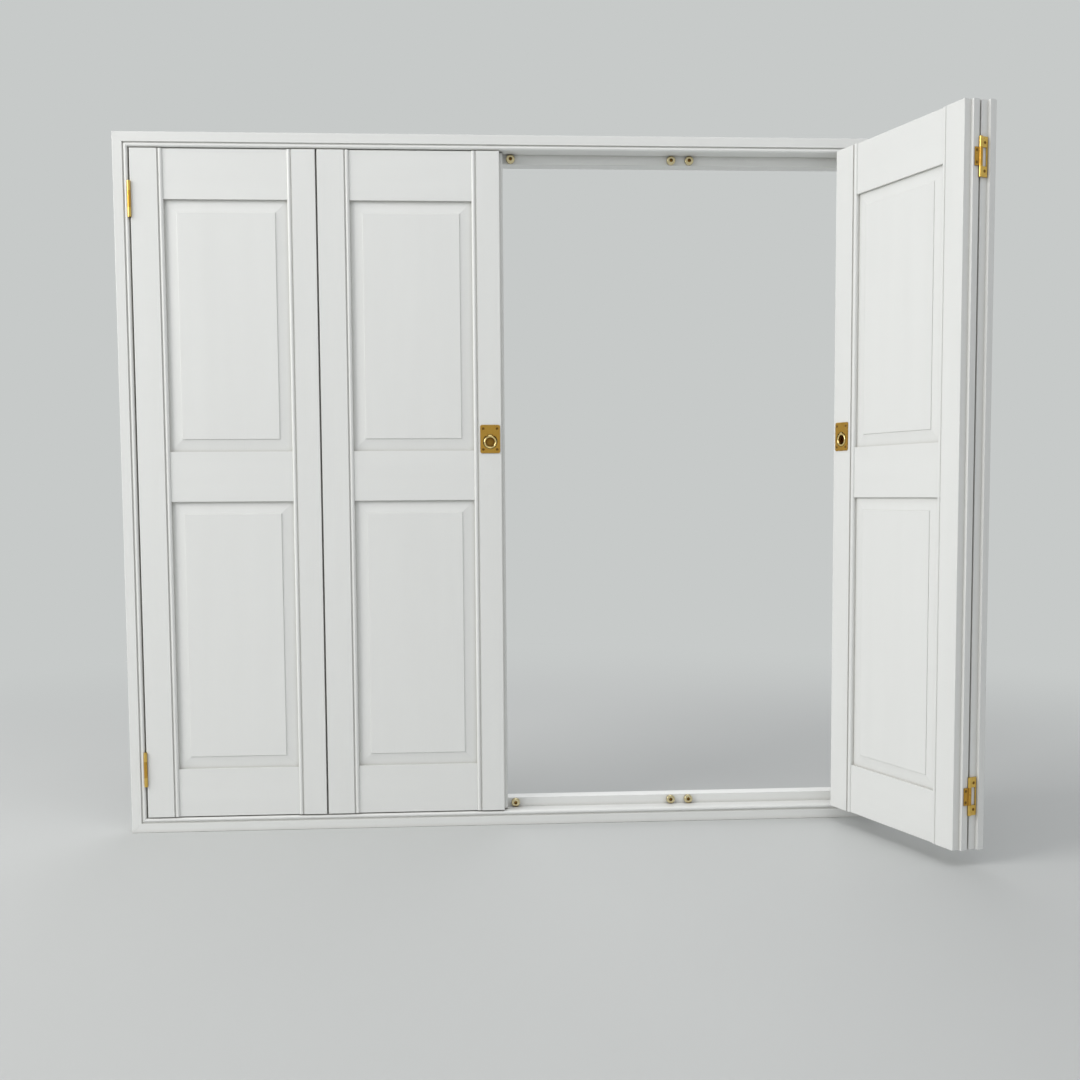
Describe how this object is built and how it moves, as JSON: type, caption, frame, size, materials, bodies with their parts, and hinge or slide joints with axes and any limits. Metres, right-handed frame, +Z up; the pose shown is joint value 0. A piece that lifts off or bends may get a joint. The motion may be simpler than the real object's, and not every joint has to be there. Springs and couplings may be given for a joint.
{
  "type": "panelled folding window shutters",
  "caption": "Panelled folding shutters for a window, in a beaded and rebated frame: hinged pairs of leaves lie flush in the frame or fold back to back into the room.",
  "frame": {"origin": "middle of the frame's underside", "axes": "+X along the window to the right as seen from the room, +Y from the room to the window, +Z up"},
  "size_m": [1.3915, 0.3688, 1.2],
  "materials": {
    "painted_wood": "satin white paint",
    "hinge_brass": "polished, lacquered",
    "pull_brass": "polished",
    "catch_brass": "turned and polished",
    "screw_brass": "satin",
    "strike_steel": "zinc plated"
  },
  "bodies": {
    "frame": {"frame_head": "painted_wood", "frame_left_jamb": "painted_wood", "frame_right_jamb": "painted_wood", "frame_screws": "screw_brass", "frame_sill": "painted_wood", "head_catches": "catch_brass", "left_jamb_hinge_outer": "hinge_brass", "left_jamb_hinge_pins": "hinge_brass", "right_jamb_hinge_outer": "hinge_brass", "right_jamb_hinge_pins": "hinge_brass", "sill_catches": "catch_brass"},
    "outer_left": {"left_fold_hinge_outer": "hinge_brass", "left_fold_hinge_pins": "hinge_brass", "left_jamb_hinge_inner": "hinge_brass", "outer_left_bottom_rail": "painted_wood", "outer_left_fold_stile": "painted_wood", "outer_left_jamb_stile": "painted_wood", "outer_left_lower_panel": "painted_wood", "outer_left_middle_rail": "painted_wood", "outer_left_screws": "screw_brass", "outer_left_strikes": "strike_steel", "outer_left_top_rail": "painted_wood", "outer_left_upper_panel": "painted_wood"},
    "inner_left": {"inner_left_bottom_rail": "painted_wood", "inner_left_fold_stile": "painted_wood", "inner_left_lower_panel": "painted_wood", "inner_left_meeting_stile": "painted_wood", "inner_left_middle_rail": "painted_wood", "inner_left_screws": "screw_brass", "inner_left_strikes": "strike_steel", "inner_left_top_rail": "painted_wood", "inner_left_upper_panel": "painted_wood", "left_fold_hinge_inner": "hinge_brass", "left_pull_plate": "pull_brass"},
    "inner_right": {"inner_right_bottom_rail": "painted_wood", "inner_right_fold_stile": "painted_wood", "inner_right_lower_panel": "painted_wood", "inner_right_meeting_stile": "painted_wood", "inner_right_middle_rail": "painted_wood", "inner_right_screws": "screw_brass", "inner_right_strikes": "strike_steel", "inner_right_top_rail": "painted_wood", "inner_right_upper_panel": "painted_wood", "right_fold_hinge_inner": "hinge_brass", "right_pull_plate": "pull_brass"},
    "outer_right": {"outer_right_bottom_rail": "painted_wood", "outer_right_fold_stile": "painted_wood", "outer_right_jamb_stile": "painted_wood", "outer_right_lower_panel": "painted_wood", "outer_right_middle_rail": "painted_wood", "outer_right_screws": "screw_brass", "outer_right_strikes": "strike_steel", "outer_right_top_rail": "painted_wood", "outer_right_upper_panel": "painted_wood", "right_fold_hinge_outer": "hinge_brass", "right_fold_hinge_pins": "hinge_brass", "right_jamb_hinge_inner": "hinge_brass"},
    "left_ring": {"left_pull_ring": "pull_brass"},
    "right_ring": {"right_pull_ring": "pull_brass"}
  },
  "joints": [
    {"name": "left_jamb_hinge", "type": "hinge", "parent": "frame", "child": "outer_left", "pos_m": [-0.629, -0.0315, 0.6], "axis": [0, 0, -1], "range_deg": [0, 110]},
    {"name": "left_fold_hinge", "type": "hinge", "parent": "outer_left", "child": "inner_left", "pos_m": [-0.31, -0.0045, 0.6], "axis": [0, 0, 1], "range_deg": [0, 180]},
    {"name": "right_jamb_hinge", "type": "hinge", "parent": "frame", "child": "outer_right", "pos_m": [0.629, -0.0315, 0.6], "axis": [0, 0, 1], "range_deg": [-110, 0]},
    {"name": "right_fold_hinge", "type": "hinge", "parent": "outer_right", "child": "inner_right", "pos_m": [0.71068, -0.33486, 0.6], "axis": [0, 0, -1], "range_deg": [-180, 0]},
    {"name": "left_ring_pivot", "type": "hinge", "parent": "inner_left", "child": "left_ring", "pos_m": [-0.02425, -0.03075, 0.688], "axis": [-1, 0, 0], "range_deg": [0, 90]},
    {"name": "right_ring_pivot", "type": "hinge", "parent": "inner_right", "child": "right_ring", "pos_m": [0.5852, -0.06686, 0.688], "axis": [-0.342, 0.9397, 0], "range_deg": [0, 90]}
  ],
  "couplings": [
    {"joint": "left_fold_hinge", "follows": "left_jamb_hinge", "ratio": 1.6364},
    {"joint": "right_fold_hinge", "follows": "right_jamb_hinge", "ratio": 1.6364}
  ]
}
